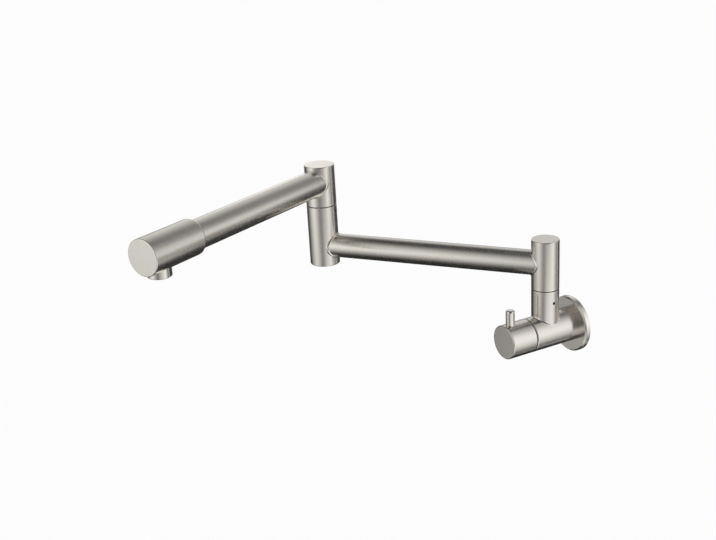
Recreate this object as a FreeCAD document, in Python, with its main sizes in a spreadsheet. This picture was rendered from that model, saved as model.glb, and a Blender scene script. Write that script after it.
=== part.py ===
"""Wall mounted pot filler: a quarter-turn valve on a wall flange, and two swinging arms.

The origin is the centre of the flange's back face, on the wall. +Z is up, +Y goes into the
wall, and the tap stands out towards -Y. Lengths are in millimetres and angles in degrees.
"""
import FreeCAD, Part

import math
import os

import Sketcher

NUDGE = 0.001  # how far a found edge may lie from where it is looked for


# ---------------------------------------------------------------- the size sheet

class Size:
    """A length or an angle, known as a number and as a formula on the size sheet."""

    def __init__(self, value, formula):
        self.value = float(value)
        self.formula = formula

    def __add__(self, other):
        return Size(self.value + number(other), f"({self.formula} + {formula(other)})")

    def __radd__(self, other):
        return Size(number(other) + self.value, f"({formula(other)} + {self.formula})")

    def __sub__(self, other):
        return Size(self.value - number(other), f"({self.formula} - {formula(other)})")

    def __rsub__(self, other):
        return Size(number(other) - self.value, f"({formula(other)} - {self.formula})")

    def __mul__(self, other):
        return Size(self.value * number(other), f"({self.formula} * {formula(other)})")

    def __rmul__(self, other):
        return self * other

    def __neg__(self):
        return self * -1

    def __truediv__(self, other):
        return Size(self.value / number(other), f"({self.formula} / {formula(other)})")


def number(term):
    """The plain number of a size or of a number."""
    return term.value if isinstance(term, Size) else float(term)


def formula(term):
    """The sheet formula of a size or of a number."""
    return term.formula if isinstance(term, Size) else f"({float(term):.9f})"


def cosine(angle):
    return Size(math.cos(math.radians(angle.value)), f"cos({angle.formula} * 1 deg)")


def sine(angle):
    return Size(math.sin(math.radians(angle.value)), f"sin({angle.formula} * 1 deg)")


doc = FreeCAD.newDocument("pot_filler")
sheet = doc.addObject("Spreadsheet::Sheet", "sizes")
rows_used = []


def size(name, value):
    """Puts one driving dimension on the sheet, under its own name."""
    rows_used.append(name)
    row = len(rows_used)
    sheet.set(f"A{row}", name)
    sheet.set(f"B{row}", str(value))
    sheet.setAlias(f"B{row}", name)
    return Size(value, f"sizes.{name}")


# Clearances and small edges shared by many pieces
running_gap = size("running_gap", 0.05)        # radial, between pieces that turn in each other
assembly_gap = size("assembly_gap", 0.05)      # radial, between pieces that screw or push together
edge_break = size("edge_break", 0.5)           # chamfer on the small turned edges
pipe_thread_radius = size("pipe_thread_radius", 10.48)   # G1/2 male thread, over the crests
socket_screw_radius = size("socket_screw_radius", 1.5)   # M3 grub screws of the swivels
seal_cord_radius = size("seal_cord_radius", 1.0)         # cord of the swivel O-rings

# Wall flange
flange_radius = size("flange_radius", 29.0)
flange_thickness = size("flange_thickness", 6.0)
flange_rim = size("flange_rim", 3.0)
flange_bevel = size("flange_bevel", 1.5)
flange_hub_wall = size("flange_hub_wall", 3.0)
flange_hollow_depth = size("flange_hollow_depth", 4.0)
flange_seal_cord_radius = size("flange_seal_cord_radius", 0.9)

# Valve body: a barrel along Y, and the riser that stands on it
body_radius = size("body_radius", 17.5)
body_front = size("body_front", 57.0)
riser_distance = size("riser_distance", 35.0)
riser_radius = size("riser_radius", 14.0)
riser_top = size("riser_top", 46.5)
riser_wall = size("riser_wall", 2.5)
riser_water_radius = size("riser_water_radius", 7.0)
riser_weld = size("riser_weld", 2.0)
riser_screw_drop = size("riser_screw_drop", 12.5)

# Inlet: a G1/2 socket in the back of the barrel, for the nipple that stands out of the wall
inlet_depth = size("inlet_depth", 14.0)
inlet_relief = size("inlet_relief", 0.5)       # how far the bore widens behind the thread
inlet_seal_thickness = size("inlet_seal_thickness", 1.5)
strainer_thickness = size("strainer_thickness", 1.2)
inlet_passage_radius = size("inlet_passage_radius", 5.5)

# Quarter-turn cartridge, measured from the seat towards the room
seat_depth = size("seat_depth", 27.0)
seat_seal_thickness = size("seat_seal_thickness", 1.6)
seat_seal_stand = size("seat_seal_stand", 0.4)
disc_radius = size("disc_radius", 8.0)
fixed_disc_thickness = size("fixed_disc_thickness", 3.0)
moving_disc_thickness = size("moving_disc_thickness", 3.5)
disc_face_gap = size("disc_face_gap", 0.05)
cage_wall = size("cage_wall", 1.1)
bonnet_thread_length = size("bonnet_thread_length", 12.0)
window_width = size("window_width", 9.0)
spindle_flange_thickness = size("spindle_flange_thickness", 3.0)
spindle_radius = size("spindle_radius", 4.5)
tongue_width = size("tongue_width", 3.0)
tongue_depth = size("tongue_depth", 1.2)
bonnet_hex_flats = size("bonnet_hex_flats", 22.0)
bonnet_hex_height = size("bonnet_hex_height", 5.0)
spindle_seal_cord_radius = size("spindle_seal_cord_radius", 0.75)
spindle_ring_pitch = size("spindle_ring_pitch", 4.0)
clip_thickness = size("clip_thickness", 0.8)
clip_radius = size("clip_radius", 6.5)
clip_groove_depth = size("clip_groove_depth", 1.0)
spline_tooth = size("spline_tooth", 0.45)
spline_relief = size("spline_relief", 0.1)

# Knob and lever pin
knob_gap = size("knob_gap", 0.9)
knob_length = size("knob_length", 28.8)
knob_rounding = size("knob_rounding", 0.9)     # on both ends of the knob and on the barrel's front
knob_face_wall = size("knob_face_wall", 7.2)
knob_hollow_depth = size("knob_hollow_depth", 7.5)
knob_wall = size("knob_wall", 2.5)
knob_tail_gap = size("knob_tail_gap", 0.5)
lever_radius = size("lever_radius", 4.5)
lever_from_front = size("lever_from_front", 8.0)
lever_height = size("lever_height", 15.4)
lever_seat_depth = size("lever_seat_depth", 6.5)
lever_stud_radius = size("lever_stud_radius", 2.5)
lever_stud_length = size("lever_stud_length", 5.5)
lever_rounding = size("lever_rounding", 1.8)
knob_screw_from_front = size("knob_screw_from_front", 15.7)
knob_screw_radius = size("knob_screw_radius", 2.0)
knob_screw_length = size("knob_screw_length", 8.0)

# Swivels
joint_gap = size("joint_gap", 0.6)
joint_break = size("joint_break", 0.3)         # chamfer on the edges that face a joint
slide_ring_inset = size("slide_ring_inset", 0.6)
groove_slack = size("groove_slack", 0.3)       # how much wider a groove is than its ring or screw
lock_groove_depth = size("lock_groove_depth", 1.5)
screw_recess = size("screw_recess", 0.6)
spigot_wall = size("spigot_wall", 3.45)
spigot_below_lock = size("spigot_below_lock", 13.0)  # from the locking screw to the spigot's foot
first_ring_drop = size("first_ring_drop", 5.0)       # from the locking screw to the upper O-ring
ring_spacing = size("ring_spacing", 4.5)
spigot_foot_gap = size("spigot_foot_gap", 1.0)
cap_thickness = size("cap_thickness", 2.0)
cap_plug = size("cap_plug", 4.0)
cap_rounding = size("cap_rounding", 0.8)

# Rear hub and first arm
rear_spigot_grip = size("rear_spigot_grip", 10.9)
arm_1_rise = size("arm_1_rise", 25.5)          # from the rear hub's foot to the arm's axis
rear_crown = size("rear_crown", 25.8)          # from the arm's axis to the top of the cap
arm_1_radius = size("arm_1_radius", 12.7)
arm_1_wall = size("arm_1_wall", 1.5)
arm_1_length = size("arm_1_length", 242.8)
arm_1_heading = size("arm_1_heading", 217.4)

# Middle hub
mid_radius = size("mid_radius", 16.0)
mid_wall = size("mid_wall", 3.0)
mid_skirt = size("mid_skirt", 20.6)            # from the first arm's axis to the bottom cap
mid_rise = size("mid_rise", 45.0)              # from the first arm's axis to the joint
mid_crown = size("mid_crown", 18.6)            # from the second arm's axis to the top of the cap
mid_screw_drop = size("mid_screw_drop", 6.1)
mid_spigot_grip = size("mid_spigot_grip", 8.8)

# Second arm and head
arm_2_rise = size("arm_2_rise", 24.6)          # from the upper hub's foot to the arm's axis
arm_2_radius = size("arm_2_radius", 14.3)
arm_2_wall = size("arm_2_wall", 1.5)
arm_2_heading = size("arm_2_heading", 296.5)
head_start = size("head_start", 202.0)
head_end = size("head_end", 267.0)
head_wall = size("head_wall", 3.35)
head_overlap = size("head_overlap", 18.0)
head_rounding = size("head_rounding", 2.0)
outlet_from_end = size("outlet_from_end", 18.5)
outlet_radius = size("outlet_radius", 11.3)
outlet_drop = size("outlet_drop", 5.1)
outlet_wall = size("outlet_wall", 1.4)
outlet_lip_wall = size("outlet_lip_wall", 3.8)
outlet_lip_height = size("outlet_lip_height", 2.0)
outlet_stand = size("outlet_stand", 3.0)
aerator_inset = size("aerator_inset", 0.9)
aerator_wall = size("aerator_wall", 1.4)
aerator_ledge = size("aerator_ledge", 0.8)
screen_thickness = size("screen_thickness", 0.8)
screen_hole_radius = size("screen_hole_radius", 0.45)
aerator_plate = size("aerator_plate", 1.4)
aerator_hole_radius = size("aerator_hole_radius", 0.8)
aerator_seal_thickness = size("aerator_seal_thickness", 1.5)

# Proportions: each follows the size that it is multiplied with
screw_tip_share = 0.4          # of a grub screw's radius, its pointed tip
screw_socket_share = 0.4       # of a grub screw's length, its hexagon socket
port_inner_share = 0.2         # of the disc's radius, the inner edge of a port
port_outer_share = 0.66        # of the disc's radius, the outer edge of a port
notch_inner_share = 0.3        # of the disc's radius, the inner edge of a notch
tongue_reach_share = 0.85      # of the turning disc's radius, half the tongue's length
tooth_width_share = 0.8        # of a spline tooth's height, half its width
tooth_root_share = 0.8         # of the spline's core, where a tooth starts
clip_mouth_share = 0.6         # of the clip groove's radius, half the clip's mouth
strainer_hole_share = 0.13     # of the water passage's radius, each hole
strainer_rings = ((0, 1), (0.4, 6), (0.8, 12))     # share of that radius, and count
plate_rings = ((0.35, 6), (0.75, 12))              # the same, for the aerator's plate
screen_rings = ((0, 1), (0.2, 6), (0.4, 12), (0.6, 18), (0.8, 24))
spline_teeth = 16
port_angles = (-38, -19, 0, 19, 38)                # corners of a port's round side, in degrees
overcut = 1.0                  # how far a cutter sticks out of what it cuts
through = 3                    # how many times its piece a cutter is long, to go right through

doc.recompute()


# ---------------------------------------------------------------- how pieces are made

def new_body(label):
    body = doc.addObject("PartDesign::Body", label)
    body.Label = label
    return body


def new_sketch(body, role, lift=0):
    """A sketch on one of the body's own origin planes, moved along its normal by lift."""
    sketch = body.newObject("Sketcher::SketchObject", f"{body.Name}_sketch")
    plane = [p for p in body.Origin.OriginFeatures if p.Role == role][0]
    sketch.AttachmentSupport = [(plane, "")]
    sketch.MapMode = "FlatFace"
    if number(lift):
        sketch.setExpression("AttachmentOffset.Base.z", formula(lift))
    return sketch


def pin_point(sketch, line, end, across, along):
    """Ties one point of the sketch to two formulas, counted from the sketch's origin."""
    for kind, distance in (("DistanceX", across), ("DistanceY", along)):
        constraint = Sketcher.Constraint(kind, -1, 1, line, end, number(distance))
        index = sketch.addConstraint(constraint)
        sketch.setExpression(f"Constraints[{index}]", formula(distance))


def add_outline(sketch, corners):
    """A closed outline of straight lines through the corners, each an (x, y) of sizes."""
    first = sketch.GeometryCount
    count = len(corners)
    for index in range(count):
        start = FreeCAD.Vector(number(corners[index][0]), number(corners[index][1]), 0)
        following = corners[(index + 1) % count]
        end = FreeCAD.Vector(number(following[0]), number(following[1]), 0)
        sketch.addGeometry(Part.LineSegment(start, end), False)
    for index in range(count):
        following = first + (index + 1) % count
        sketch.addConstraint(Sketcher.Constraint("Coincident", first + index, 2, following, 1))
    for index, (across, along) in enumerate(corners):
        pin_point(sketch, first + index, 1, across, along)


def add_circle(sketch, radius, across=0, along=0):
    centre = FreeCAD.Vector(number(across), number(along), 0)
    circle = Part.Circle(centre, FreeCAD.Vector(0, 0, 1), number(radius))
    line = sketch.addGeometry(circle, False)
    pin_point(sketch, line, 3, across, along)
    index = sketch.addConstraint(Sketcher.Constraint("Radius", line, number(radius)))
    sketch.setExpression(f"Constraints[{index}]", formula(radius))


def revolve(body, profile, kind="PartDesign::Revolution"):
    """Turns a closed (radius, height) profile about the body's own Z axis."""
    sketch = new_sketch(body, "XZ_Plane")
    add_outline(sketch, profile)
    feature = body.newObject(kind, f"{body.Name}_turned")
    feature.Profile = sketch
    feature.ReferenceAxis = (sketch, ["V_Axis"])
    feature.Angle = 360
    return feature


def pad(body, sketch, length, reverse=False, middle=False):
    feature = body.newObject("PartDesign::Pad", f"{body.Name}_pad")
    feature.Profile = sketch
    feature.setExpression("Length", formula(length))
    feature.Reversed = reverse
    feature.SideType = "Symmetric" if middle else "One side"
    return feature


def pocket(body, sketch, depth, forward=False, middle=False):
    """Cuts against the sketch's normal, along it where forward, or both ways where middle."""
    feature = body.newObject("PartDesign::Pocket", f"{body.Name}_pocket")
    feature.Profile = sketch
    feature.setExpression("Length", formula(depth))
    feature.Reversed = forward
    feature.SideType = "Symmetric" if middle else "One side"
    return feature


def must_change(body, feature):
    """Recomputes, and stops if the feature took away or added nothing."""
    doc.recompute()
    before = feature.BaseFeature.Shape.Volume
    if abs(before - body.Shape.Volume) < NUDGE:
        raise RuntimeError(f"{feature.Name} changes nothing on {body.Label}")
    return feature


def around(body, feature, count):
    """Repeats a feature around the body's own Z axis."""
    pattern = body.newObject("PartDesign::PolarPattern", f"{body.Name}_pattern")
    pattern.Originals = [feature]
    axis = [a for a in body.Origin.OriginFeatures if a.Role == "Z_Axis"][0]
    pattern.Axis = (axis, [""])
    pattern.Angle = 360
    pattern.Occurrences = count
    body.Tip = pattern
    return pattern


def round_edges(body, radius, wanted):
    """Fillets the edges for which wanted(edge) is true."""
    doc.recompute()
    base = body.Tip
    names = [f"Edge{i}" for i, edge in enumerate(base.Shape.Edges, 1) if wanted(edge)]
    if not names:
        raise RuntimeError(f"no edge to round on {body.Label}")
    feature = body.newObject("PartDesign::Fillet", f"{body.Name}_fillet")
    feature.Base = (base, names)
    feature.setExpression("Radius", formula(radius))
    return feature


def ring_edge(radius, height):
    """Tells whether an edge is the full circle of that radius at that height."""
    def wanted(edge):
        curve = edge.Curve
        return (isinstance(curve, Part.Circle) and abs(curve.Radius - number(radius)) < NUDGE
                and abs(curve.Center.z - number(height)) < NUDGE)
    return wanted


def place(piece, x=0, y=0, z=0, turn=0, pitch=0, roll=0):
    """Binds a piece's placement: roll about X, pitch about Y, then turn about Z."""
    where = "; ".join(formula(term) for term in (x, y, z))
    angles = "; ".join(formula(term) for term in (turn, pitch, roll))
    piece.setExpression("Placement", f"placement(vector({where}); rotation({angles}))")
    return piece


def ring(label, radius, cord_radius):
    """An O-ring whose outside is at radius."""
    torus = doc.addObject("Part::Torus", label)
    torus.Label = label
    torus.setExpression("Radius1", formula(radius - cord_radius))
    torus.setExpression("Radius2", formula(cord_radius))
    return torus


def tube_profile(inner, outer, height, foot_break=0, head_break=0):
    """A (radius, height) profile of a plain tube, with its outer edges broken."""
    corners = [(inner, 0)]
    if number(foot_break):
        corners += [(outer - foot_break, 0), (outer, foot_break)]
    else:
        corners += [(outer, 0)]
    if number(head_break):
        corners += [(outer, height - head_break), (outer - head_break, height)]
    else:
        corners += [(outer, height)]
    return corners + [(inner, height)]


def grub_screw(label, radius, length):
    """A hexagon socket grub screw along +Z, with its socket at the far end."""
    body = new_body(label)
    tip = radius * screw_tip_share
    revolve(body, [(0, 0), (radius - tip, 0), (radius, tip), (radius, length), (0, length)])
    sketch = new_sketch(body, "XY_Plane", length)
    add_outline(sketch, hexagon(radius))
    must_change(body, pocket(body, sketch, length * screw_socket_share))
    return body


def hexagon(flats):
    """The corners of a hexagon, from the distance across its flats."""
    corner = flats / math.sqrt(3)
    angles = [math.radians(60 * k) for k in range(6)]
    return [(corner * math.cos(a), corner * math.sin(a)) for a in angles]


def rectangle(x_low, y_low, x_high, y_high):
    return [(x_low, y_low), (x_high, y_low), (x_high, y_high), (x_low, y_high)]


def side_hole(body, radius, height, reach, towards_plus_x=True):
    """A round hole from the body's Z axis out through one side, along X."""
    sketch = new_sketch(body, "YZ_Plane")
    add_circle(sketch, radius, 0, height)
    return must_change(body, pocket(body, sketch, reach, forward=towards_plus_x))


# ---------------------------------------------------------------- wall flange

flange_bore = body_radius + assembly_gap
flange_hub = flange_bore + flange_hub_wall
flange_groove = body_radius + 2 * flange_seal_cord_radius + groove_slack
flange_groove_width = 2 * flange_seal_cord_radius + groove_slack


def make_wall_flange():
    """A turned disc with a hollow back, a hub round the barrel and a groove in the hub."""
    body = new_body("wall_flange")
    inner_rim = flange_radius - flange_rim
    low = (flange_thickness - flange_groove_width) / 2
    high = low + flange_groove_width
    revolve(body, [
        (flange_bore, 0), (flange_hub, 0), (flange_hub, flange_hollow_depth),
        (inner_rim, flange_hollow_depth), (inner_rim, 0), (flange_radius, 0),
        (flange_radius, flange_thickness - flange_bevel),
        (flange_radius - flange_bevel, flange_thickness), (flange_bore, flange_thickness),
        (flange_bore, high), (flange_groove, high), (flange_groove, low), (flange_bore, low)])
    return place(body, roll=90)


def make_wall_gasket():
    body = new_body("wall_gasket")
    revolve(body, tube_profile(flange_hub + assembly_gap,
                               flange_radius - flange_rim - assembly_gap,
                               flange_hollow_depth))
    return place(body, roll=90)


def make_flange_o_ring():
    outside = body_radius + 2 * flange_seal_cord_radius
    return place(ring("flange_o_ring", outside, flange_seal_cord_radius),
                 y=-flange_thickness / 2, roll=90)


# ---------------------------------------------------------------- valve body

inlet_thread_bore = pipe_thread_radius + assembly_gap
inlet_floor = inlet_depth + inlet_seal_thickness + strainer_thickness
riser_socket = riser_radius - riser_wall
riser_screw_height = riser_top - riser_screw_drop
riser_socket_floor = riser_screw_height - spigot_below_lock - spigot_foot_gap


def make_valve_body():
    """The barrel and riser, with the inlet, the cartridge chamber and the swivel socket.

    In the body's own frame +Z runs from the wall to the room and +Y is up.
    """
    body = new_body("valve_body")
    revolve(body, [(0, 0), (body_radius, 0), (body_radius, body_front), (0, body_front)])
    round_edges(body, knob_rounding, ring_edge(body_radius, body_front))
    sketch = new_sketch(body, "XZ_Plane")
    add_circle(sketch, riser_radius, 0, riser_distance)
    pad(body, sketch, riser_top, reverse=True)
    doc.recompute()

    def weld_line(edge):
        middle = edge.valueAt((edge.FirstParameter + edge.LastParameter) / 2)
        on_barrel = abs(math.hypot(middle.x, middle.y) - body_radius.value) < NUDGE
        from_riser = math.hypot(middle.x, middle.z - riser_distance.value)
        return on_barrel and abs(from_riser - riser_radius.value) < NUDGE

    round_edges(body, riser_weld, weld_line)
    doc.recompute()
    must_change(body, revolve(body, [
        (0, -overcut), (inlet_thread_bore, -overcut),
        (inlet_thread_bore, inlet_depth), (inlet_thread_bore + inlet_relief, inlet_depth),
        (inlet_thread_bore + inlet_relief, inlet_floor), (inlet_passage_radius, inlet_floor),
        (inlet_passage_radius, seat_depth), (inlet_thread_bore, seat_depth),
        (inlet_thread_bore, body_front + overcut), (0, body_front + overcut)],
        "PartDesign::Groove"))
    sketch = new_sketch(body, "XZ_Plane")
    add_circle(sketch, riser_water_radius, 0, riser_distance)
    must_change(body, pocket(body, sketch, riser_top + overcut))
    sketch = new_sketch(body, "XZ_Plane", -riser_socket_floor)
    add_circle(sketch, riser_socket, 0, riser_distance)
    must_change(body, pocket(body, sketch, riser_top))
    sketch = new_sketch(body, "YZ_Plane")
    add_circle(sketch, socket_screw_radius + assembly_gap, riser_screw_height, riser_distance)
    must_change(body, pocket(body, sketch, riser_radius + overcut, forward=True))
    return place(body, roll=90)


def make_riser_set_screw():
    start = riser_socket - lock_groove_depth + groove_slack
    length = riser_radius - screw_recess - start
    return place(grub_screw("riser_set_screw", socket_screw_radius, length),
                 x=start, y=-riser_distance, z=riser_screw_height, pitch=90)


# ---------------------------------------------------------------- inlet

def make_inlet_seal():
    body = new_body("inlet_seal")
    revolve(body, tube_profile(inlet_passage_radius, pipe_thread_radius, inlet_seal_thickness))
    return place(body, y=-inlet_depth, roll=90)


def make_inlet_strainer():
    """A perforated disc: one hole in the middle and two rings of holes."""
    body = new_body("inlet_strainer")
    revolve(body, [(0, 0), (pipe_thread_radius, 0), (pipe_thread_radius, strainer_thickness),
                   (0, strainer_thickness)])
    perforate(body, inlet_passage_radius * strainer_hole_share, inlet_passage_radius,
              strainer_thickness, strainer_rings)
    return place(body, y=-(inlet_depth + inlet_seal_thickness), roll=90)


def perforate(body, hole, radius, thickness, rings, lift=0):
    """Drills rings of holes, each (share of the radius, count), through a disc."""
    for share, count in rings:
        sketch = new_sketch(body, "XY_Plane", lift)
        add_circle(sketch, hole, radius * share, 0)
        drilled = must_change(body, pocket(body, sketch, thickness * through, forward=True))
        if count > 1:
            around(body, drilled, count)
            doc.recompute()


# ---------------------------------------------------------------- quarter-turn cartridge

cage_foot = seat_depth + seat_seal_stand
cage_bore = disc_radius + assembly_gap
cage_radius = cage_bore + cage_wall
fixed_disc_foot = seat_depth + seat_seal_thickness
moving_disc_foot = fixed_disc_foot + fixed_disc_thickness + disc_face_gap
spindle_foot = moving_disc_foot + moving_disc_thickness
spindle_flange_top = spindle_foot + spindle_flange_thickness
stem_bore = spindle_radius + running_gap
cage_shoulder = body_front - bonnet_thread_length
bonnet_end = body_front + bonnet_hex_height
turning_disc_radius = disc_radius - 3 * running_gap
ring_rooms = (spindle_flange_top + spindle_ring_pitch,
              spindle_flange_top + 2 * spindle_ring_pitch)
clip_foot = bonnet_end + running_gap
clip_groove_radius = spindle_radius - clip_groove_depth
knob_back = body_front + knob_gap
knob_front = knob_back + knob_length
bore_top = knob_front - knob_face_wall
spindle_end = bore_top - knob_tail_gap


def make_cartridge_bonnet():
    """Hexagon, G1/2 shank and cage in one brass piece, bored for the discs and the stem."""
    body = new_body("cartridge_bonnet")
    cavity_top = spindle_flange_top + 2 * running_gap
    revolve(body, [
        (cage_bore, cage_foot), (cage_radius, cage_foot), (cage_radius, cage_shoulder),
        (pipe_thread_radius, cage_shoulder), (pipe_thread_radius, body_front),
        (stem_bore, body_front), (stem_bore, cavity_top), (cage_bore, cavity_top)])
    sketch = new_sketch(body, "XY_Plane", body_front)
    add_outline(sketch, hexagon(bonnet_hex_flats))
    add_circle(sketch, stem_bore)
    pad(body, sketch, bonnet_hex_height)
    sketch = new_sketch(body, "YZ_Plane")
    half = window_width / 2
    add_outline(sketch, rectangle(-half, moving_disc_foot, half, spindle_foot))
    must_change(body, pocket(body, sketch, cage_radius * through, middle=True))
    return place(body, roll=90)


def make_cartridge_seat_seal():
    body = new_body("cartridge_seat_seal")
    revolve(body, tube_profile(inlet_passage_radius, disc_radius, seat_seal_thickness))
    return place(body, y=-seat_depth, roll=90)


def quarter_wedge(inner, outer, flip=1):
    """A quarter-circle port, as straight lines, on the +X or the -X side."""
    angles = [math.radians(a) for a in port_angles]
    arc = [(outer * math.cos(a) * flip, outer * math.sin(a)) for a in angles]
    back = [(inner * math.cos(a) * flip, inner * math.sin(a)) for a in (angles[-1], angles[0])]
    return arc + back


def make_fixed_disc():
    """A ceramic disc with a port left and right."""
    body = new_body("fixed_disc")
    revolve(body, [(0, 0), (disc_radius, 0), (disc_radius, fixed_disc_thickness),
                   (0, fixed_disc_thickness)])
    for flip in (1, -1):
        sketch = new_sketch(body, "XY_Plane")
        add_outline(sketch, quarter_wedge(disc_radius * port_inner_share,
                                          disc_radius * port_outer_share, flip))
        must_change(body, pocket(body, sketch, fixed_disc_thickness * through, forward=True))
    return place(body, y=-fixed_disc_foot, roll=90)


def make_moving_disc():
    """A ceramic disc with a notch above and below, and a slot for the spindle's tongue.

    Its own X axis is turned upright, so that its solid sides shut the ports at rest.
    """
    body = new_body("moving_disc")
    revolve(body, [(0, 0), (turning_disc_radius, 0), (turning_disc_radius, moving_disc_thickness),
                   (0, moving_disc_thickness)])
    for flip in (1, -1):
        sketch = new_sketch(body, "XY_Plane")
        add_outline(sketch, quarter_wedge(disc_radius * notch_inner_share,
                                          disc_radius + 3 * overcut, flip))
        must_change(body, pocket(body, sketch, moving_disc_thickness * through, forward=True))
    sketch = new_sketch(body, "XY_Plane", moving_disc_thickness)
    half = tongue_width / 2 + assembly_gap
    reach = disc_radius + overcut
    add_outline(sketch, rectangle(-half, -reach, half, reach))
    must_change(body, pocket(body, sketch, tongue_depth + assembly_gap))
    return place(body, y=-moving_disc_foot, pitch=90, roll=90)


def make_valve_spindle():
    """The stem: tongue, flange, two O-ring grooves, clip groove and splined tail."""
    body = new_body("valve_spindle")
    seal_floor = spindle_radius - 2 * spindle_seal_cord_radius - assembly_gap / 2
    half = spindle_seal_cord_radius + groove_slack / 2
    core = spindle_radius - spline_tooth - spline_relief
    profile = [(0, spindle_foot), (turning_disc_radius, spindle_foot),
               (turning_disc_radius, spindle_flange_top), (spindle_radius, spindle_flange_top)]
    for middle in ring_rooms:
        profile += [(spindle_radius, middle - half), (seal_floor, middle - half),
                    (seal_floor, middle + half), (spindle_radius, middle + half)]
    clip_top = clip_foot + clip_thickness + 2 * running_gap
    profile += [(spindle_radius, clip_foot), (clip_groove_radius, clip_foot),
                (clip_groove_radius, clip_top), (core, clip_top), (core, spindle_end),
                (0, spindle_end)]
    revolve(body, profile)
    sketch = new_sketch(body, "XY_Plane", clip_top)
    half = spline_tooth * tooth_width_share
    add_outline(sketch, rectangle(core * tooth_root_share, -half, core + spline_tooth, half))
    doc.recompute()
    tooth = must_change(body, pad(body, sketch, spindle_end - clip_top))
    around(body, tooth, spline_teeth)
    doc.recompute()
    sketch = new_sketch(body, "XY_Plane", spindle_foot)
    side = tongue_width / 2
    reach = turning_disc_radius * tongue_reach_share
    add_outline(sketch, rectangle(-side, -reach, side, reach))
    must_change(body, pad(body, sketch, tongue_depth, reverse=True))
    return place(body, pitch=90, roll=90)


def make_spindle_o_ring(label, middle):
    return place(ring(label, spindle_radius, spindle_seal_cord_radius), y=-middle, roll=90)


def make_spindle_clip():
    """An open snap ring in the spindle's groove, outside the bonnet."""
    body = new_body("spindle_clip")
    revolve(body, tube_profile(clip_groove_radius + assembly_gap, clip_radius, clip_thickness))
    sketch = new_sketch(body, "XY_Plane")
    half = clip_groove_radius * clip_mouth_share
    add_outline(sketch, rectangle(-half, 0, half, clip_radius + overcut))
    must_change(body, pocket(body, sketch, clip_thickness * through, middle=True))
    return place(body, y=-(clip_foot + running_gap), roll=90)


# ---------------------------------------------------------------- knob

spline_bore = spindle_radius - spline_relief + assembly_gap
lever_distance = knob_front - lever_from_front
lever_top = body_radius + lever_height
lever_seat = body_radius - lever_seat_depth
lever_stud_end = lever_seat - lever_stud_length
knob_screw_distance = knob_front - knob_screw_from_front


def make_knob_shell():
    """A turned knob: hollow over the bonnet, bored for the spline and drilled twice."""
    body = new_body("knob_shell")
    hollow_top = knob_back + knob_hollow_depth
    hollow = body_radius - knob_wall
    revolve(body, [
        (hollow, knob_back), (body_radius, knob_back), (body_radius, knob_front),
        (0, knob_front), (0, bore_top), (spline_bore, bore_top), (spline_bore, hollow_top),
        (hollow, hollow_top)])
    for end in (knob_back, knob_front):
        round_edges(body, knob_rounding, ring_edge(body_radius, end))
    for floor, radius in ((lever_stud_end, lever_stud_radius), (lever_seat, lever_radius)):
        sketch = new_sketch(body, "XZ_Plane", -floor)
        add_circle(sketch, radius + assembly_gap, 0, lever_distance)
        must_change(body, pocket(body, sketch, body_radius))
    sketch = new_sketch(body, "XZ_Plane")
    add_circle(sketch, knob_screw_radius + assembly_gap, 0, knob_screw_distance)
    must_change(body, pocket(body, sketch, body_radius + overcut, forward=True))
    return place(body, roll=90)


def make_lever_pin():
    """A polished pin with a rounded end, on a threaded stud."""
    body = new_body("lever_pin")
    revolve(body, [
        (0, lever_stud_end), (lever_stud_radius, lever_stud_end), (lever_stud_radius, lever_seat),
        (lever_radius, lever_seat), (lever_radius, lever_top), (0, lever_top)])
    round_edges(body, lever_rounding, ring_edge(lever_radius, lever_top))
    return place(body, y=-lever_distance)


def make_knob_grub_screw():
    screw = grub_screw("knob_grub_screw", knob_screw_radius, knob_screw_length)
    return place(screw, y=-knob_screw_distance, z=-spline_bore, roll=180)


# ---------------------------------------------------------------- swivels

def ring_heights(lock_height):
    """The heights of a spigot's lower and upper O-ring, under its locking screw."""
    upper = lock_height - first_ring_drop
    return upper - ring_spacing, upper


def make_spigot(label, outer, foot, head, lock_height):
    """A brass tube with O-ring grooves and a groove for the tip of the locking screw."""
    body = new_body(label)
    half_ring = seal_cord_radius + groove_slack / 2
    half_lock = socket_screw_radius + groove_slack / 2
    ring_floor = outer - 2 * seal_cord_radius - assembly_gap / 2
    grooves = [(middle, half_ring, ring_floor) for middle in ring_heights(lock_height)]
    grooves += [(lock_height, half_lock, outer - lock_groove_depth)]
    inner = outer - spigot_wall
    profile = [(inner, 0), (outer - edge_break, 0), (outer, edge_break)]
    for middle, half, floor in grooves:
        low = middle - half - foot
        high = middle + half - foot
        profile += [(outer, low), (floor, low), (floor, high), (outer, high)]
    profile += [(outer, head - foot), (inner, head - foot)]
    revolve(body, profile)
    return body


def make_slide_ring(label, inner, outer):
    """A low-friction ring that fills the joint and lies on the lower hub."""
    body = new_body(label)
    revolve(body, tube_profile(inner, outer - slide_ring_inset, joint_gap - running_gap))
    return body


cap_edge = cap_thickness + cap_plug


def push_in_cap(label, plug_radius, outer):
    """A cap with a plug below, and a flush head above with a rounded edge."""
    body = new_body(label)
    revolve(body, [(0, 0), (plug_radius, 0), (plug_radius, cap_plug), (outer, cap_plug),
                   (outer, cap_edge), (0, cap_edge)])
    round_edges(body, cap_rounding, ring_edge(outer, cap_edge))
    return body


# ---------------------------------------------------------------- rear hub and first arm

rear_foot = riser_top + joint_gap
rear_bore = riser_radius - riser_wall
rear_spigot_radius = rear_bore - running_gap
rear_spigot_foot = riser_screw_height - spigot_below_lock
rear_spigot_head = rear_foot + rear_spigot_grip
arm_1_height = rear_foot + arm_1_rise
rear_top = arm_1_height + rear_crown
arm_1_bore = arm_1_radius - arm_1_wall


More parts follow.
